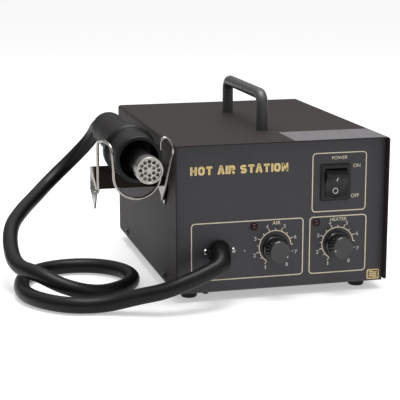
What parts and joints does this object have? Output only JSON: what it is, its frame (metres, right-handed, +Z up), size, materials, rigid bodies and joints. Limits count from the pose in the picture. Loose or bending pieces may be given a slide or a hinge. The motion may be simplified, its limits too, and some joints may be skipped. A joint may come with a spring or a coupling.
{
  "type": "hot air station",
  "caption": "Desktop hot air rework station: sheet-steel housing with carry handle, rocker switch and dials, and a hose-fed handpiece in a wire holder.",
  "frame": {"origin": "on the bench, below the middle of the outer box of the whole station without its free hose", "axes": "+Z up, +X to the right seen from the front panel, +Y from the front panel to the rear panel"},
  "size_m": [0.3206, 0.2932, 0.171],
  "materials": {
    "cover_paint": "satin black fine-texture paint",
    "chassis_steel": "satin black paint",
    "panel_paint": "satin black paint with gold print",
    "label_film": "matt grey film",
    "handle_paint": "satin black",
    "foot_rubber": "matt black",
    "black_screw": "black oxide",
    "bright_screw": "bright plated",
    "switch_black": "semi-gloss moulded",
    "knob_black": "gloss moulded",
    "knob_grey": "matt grey insert",
    "lamp_red": "clear-tinted dark red",
    "lamp_ring": "pale ring",
    "hose_rubber": "soft satin black",
    "grip_plastic": "matt black",
    "cowl_plastic": "matt black",
    "tube_steel": "steel, heat-tinted",
    "ceramic": "unglazed ceramic",
    "chrome_wire": "bright chrome",
    "holder_steel": "polished steel sheet",
    "zinc_steel": "zinc plated",
    "copper": "enamelled copper wire",
    "inner_plastic": "moulded",
    "board_green": "green laminate",
    "alloy": "extruded",
    "air_tube": "translucent silicone",
    "inlet_plastic": "black moulded",
    "inlet_blade": "nickel-plated brass"
  },
  "bodies": {
    "station": {"air_control": "inner_plastic", "air_tube": "air_tube", "board_standoffs": "inner_plastic", "capacitors": "inner_plastic", "carry_handle": "handle_paint", "chassis": "chassis_steel", "circuit_board": "board_green", "coil_core": "zinc_steel", "coil_winding": "copper", "cover_screws": "black_screw", "foot_front_left": "foot_rubber", "foot_front_right": "foot_rubber", "foot_rear_left": "foot_rubber", "foot_rear_right": "foot_rubber", "foot_screws": "black_screw", "front_fascia": "panel_paint", "fuse_holder": "inlet_plastic", "gland_plate": "zinc_steel", "gland_screws": "bright_screw", "handle_screws": "black_screw", "heat_sink": "alloy", "heater_control": "inner_plastic", "holder_bracket": "holder_steel", "holder_screws": "bright_screw", "holder_wire": "chrome_wire", "hose": "hose_rubber", "hose_elbow": "hose_rubber", "inlet_pins": "inlet_blade", "inlet_screws": "bright_screw", "lamp_bezels": "lamp_ring", "lamps": "lamp_red", "mains_inlet": "inlet_plastic", "panel_rivet": "bright_screw", "pot_nuts": "bright_screw", "pump_base": "zinc_steel", "pump_diaphragm": "foot_rubber", "pump_grommets": "foot_rubber", "pump_housing": "inner_plastic", "switch_body": "switch_black", "top_cover": "cover_paint", "top_label": "label_film", "transformer_coil": "copper", "transformer_core": "zinc_steel", "transport_screw": "black_screw", "triac": "inner_plastic"},
    "handpiece": {"handpiece_boot": "hose_rubber", "handpiece_handle": "grip_plastic", "handpiece_cowl": "cowl_plastic", "heater_tube": "tube_steel", "heater_core": "ceramic", "tube_baffle": "tube_steel"},
    "air_dial": {"air_knob": "knob_black", "air_knob_cap": "knob_grey", "air_shaft": "zinc_steel"},
    "heater_dial": {"heater_knob": "knob_black", "heater_knob_cap": "knob_grey", "heater_shaft": "zinc_steel"},
    "power_rocker": {"rocker": "switch_black"},
    "pump_arm": {"pump_arm": "alloy", "pump_magnet": "zinc_steel"}
  },
  "joints": [
    {"name": "handpiece_lift", "type": "slide", "parent": "station", "child": "handpiece", "axis": [0, 0, 1], "range_m": [0, 0.045]},
    {"name": "air_dial_turn", "type": "hinge", "parent": "station", "child": "air_dial", "pos_m": [0.024, -0.0969, 0.0426], "axis": [0, 1, 0], "range_deg": [-275, 19]},
    {"name": "heater_dial_turn", "type": "hinge", "parent": "station", "child": "heater_dial", "pos_m": [0.0798, -0.0969, 0.0426], "axis": [0, 1, 0], "range_deg": [-37, 257]},
    {"name": "power_switch", "type": "hinge", "parent": "station", "child": "power_rocker", "pos_m": [0.0767, -0.0934, 0.097], "axis": [-1, 0, 0], "range_deg": [0, 32]},
    {"name": "pump_arm_swing", "type": "hinge", "parent": "station", "child": "pump_arm", "pos_m": [-0.0231, 0.0226, 0.03], "axis": [0, 0, 1], "range_deg": [-2, 2], "stiffness_Nm_per_rad": 2}
  ]
}
